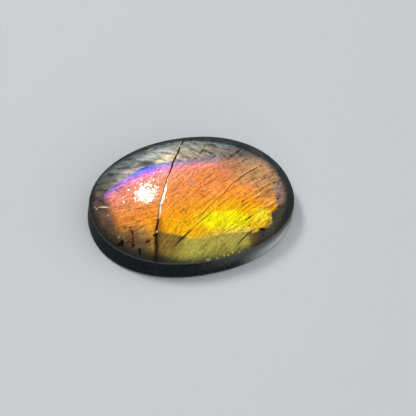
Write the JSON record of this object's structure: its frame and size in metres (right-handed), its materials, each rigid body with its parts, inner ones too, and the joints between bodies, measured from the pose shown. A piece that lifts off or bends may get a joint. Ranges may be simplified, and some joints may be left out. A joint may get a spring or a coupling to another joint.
{
  "type": "labradorite cabochon",
  "caption": "Oval polished labradorite cabochon with a high dome, a short leaning side wall and a flat back.",
  "frame": {"origin": "the middle of the flat back, on the surface that the stone lies on", "axes": "+X along the stone's length, +Y across its width, +Z out of the top of the dome"},
  "size_m": [0.03, 0.022, 0.01],
  "materials": {
    "labradorite": "polished"
  },
  "bodies": {
    "root": {"cabochon": "labradorite"}
  },
  "joints": []
}
